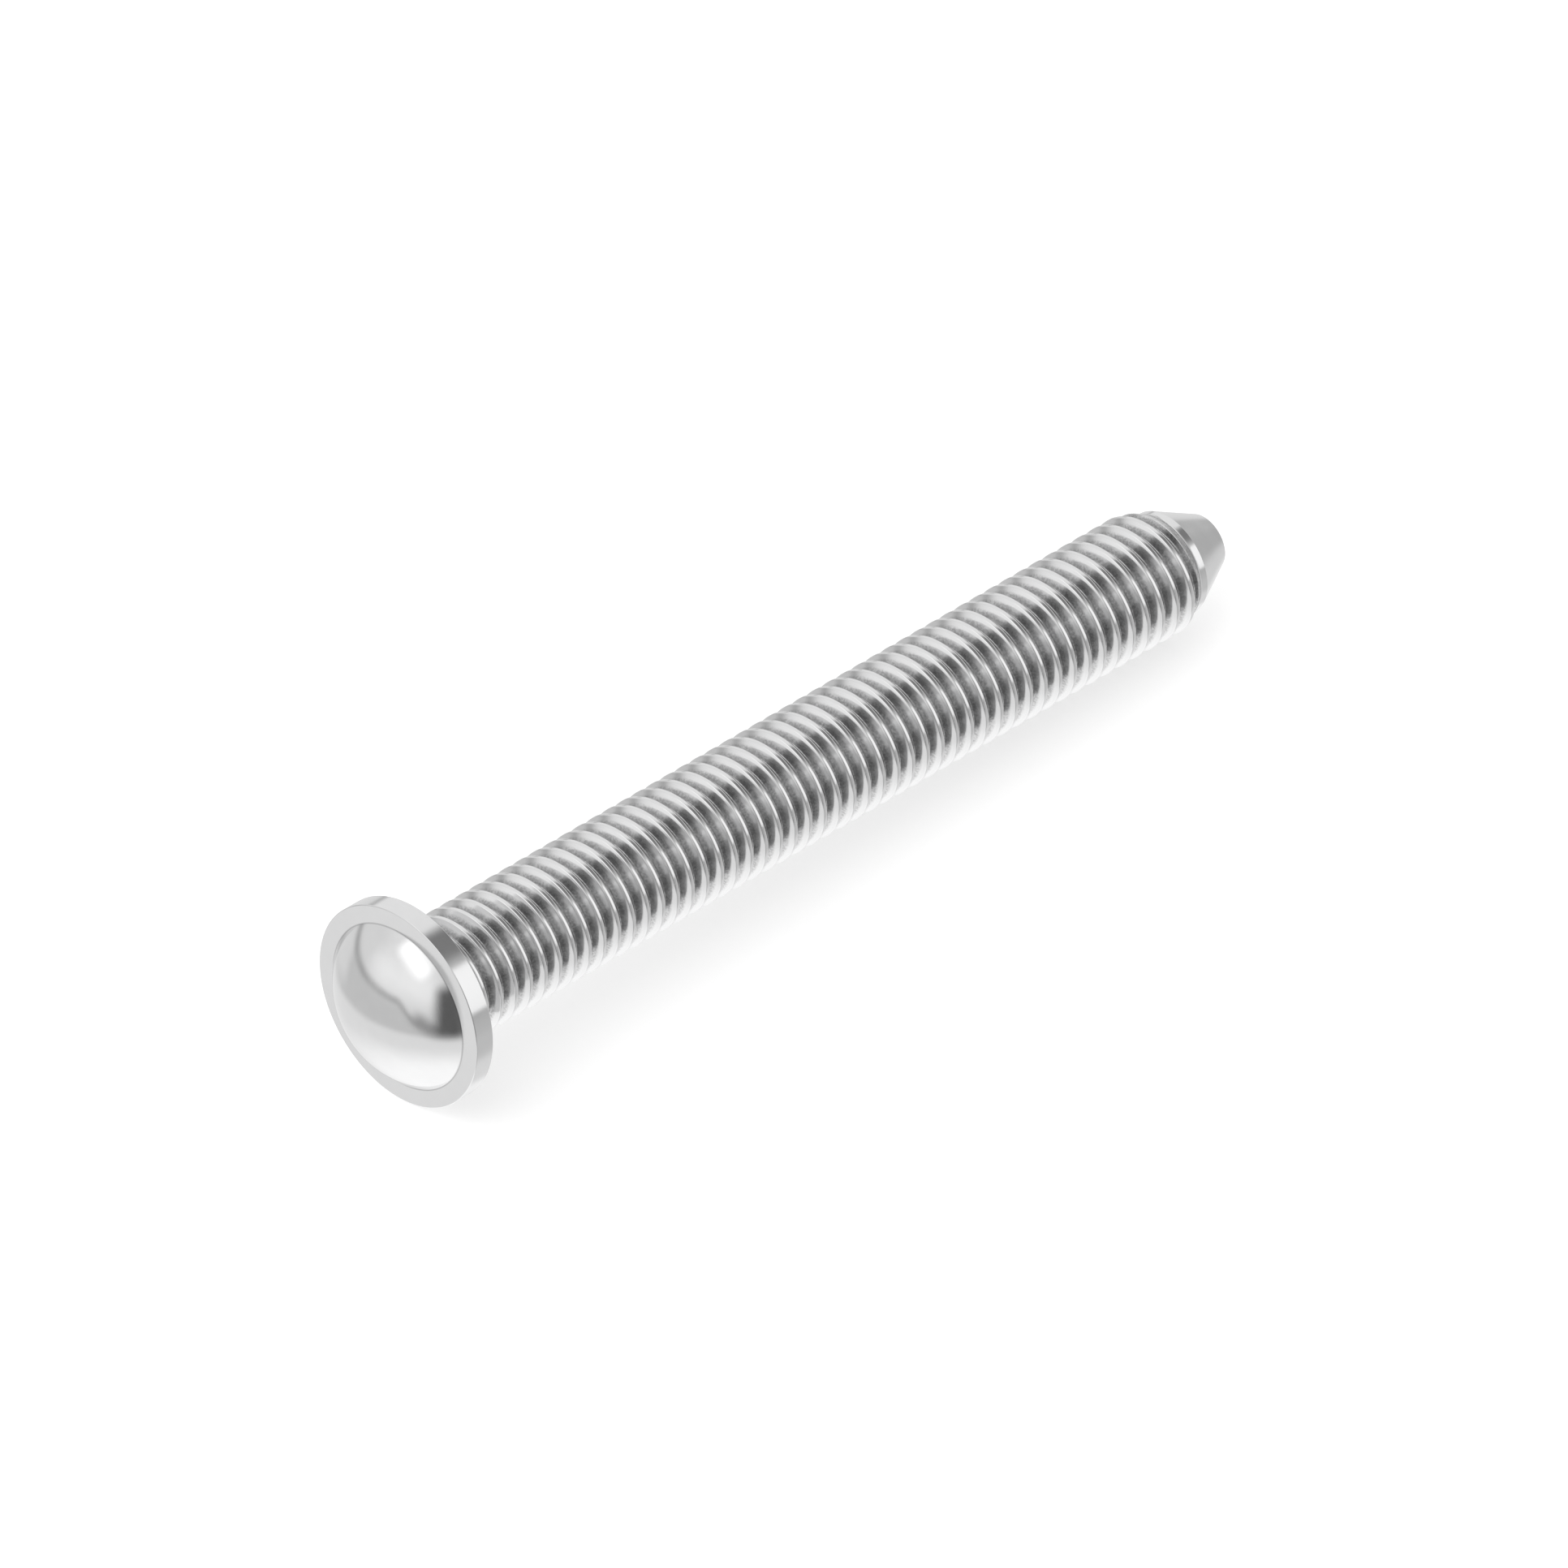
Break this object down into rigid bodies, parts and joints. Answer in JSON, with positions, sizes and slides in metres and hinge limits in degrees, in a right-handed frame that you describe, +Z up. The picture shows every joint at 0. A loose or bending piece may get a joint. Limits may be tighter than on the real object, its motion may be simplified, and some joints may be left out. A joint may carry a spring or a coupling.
{
  "type": "self-tapping screw",
  "caption": "Self-tapping screw with a domed flange head, a full-length thread and a tapered pilot point, for driving into a predrilled hole.",
  "frame": {"origin": "on the floor under the middle of the lying screw (bottom centre of its box)", "axes": "+X runs from the head to the point, +Z is up; the screw lies as it rests, its axis sloping down to the point"},
  "size_m": [0.0714, 0.0134, 0.0134],
  "materials": {
    "steel": "polished"
  },
  "bodies": {
    "root": {"screw": "steel"}
  },
  "joints": []
}
